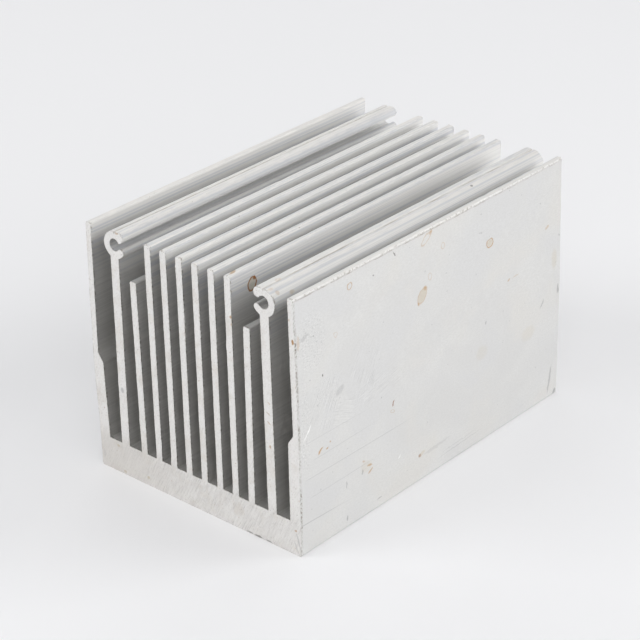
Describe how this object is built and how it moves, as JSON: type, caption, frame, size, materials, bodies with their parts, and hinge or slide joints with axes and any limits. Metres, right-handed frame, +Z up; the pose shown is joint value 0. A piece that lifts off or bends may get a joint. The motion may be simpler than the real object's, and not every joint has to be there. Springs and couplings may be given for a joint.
{
  "type": "extruded heat sink",
  "caption": "Extruded aluminium heat sink: straight upright fins on a thick flat base, stepped outer walls, and C-shaped screw ports running along the tops of its stouter fins.",
  "frame": {"origin": "middle of the flat underside of the base", "axes": "+X across the fins, +Y along the extrusion away from the front sawn end, +Z up from the base to the fin tops"},
  "size_m": [0.06, 0.091, 0.0604],
  "materials": {
    "mill_aluminium": "bare mill finish, sawn ends, a few dried-on stains"
  },
  "bodies": {
    "root": {"heat_sink": "mill_aluminium"}
  },
  "joints": []
}
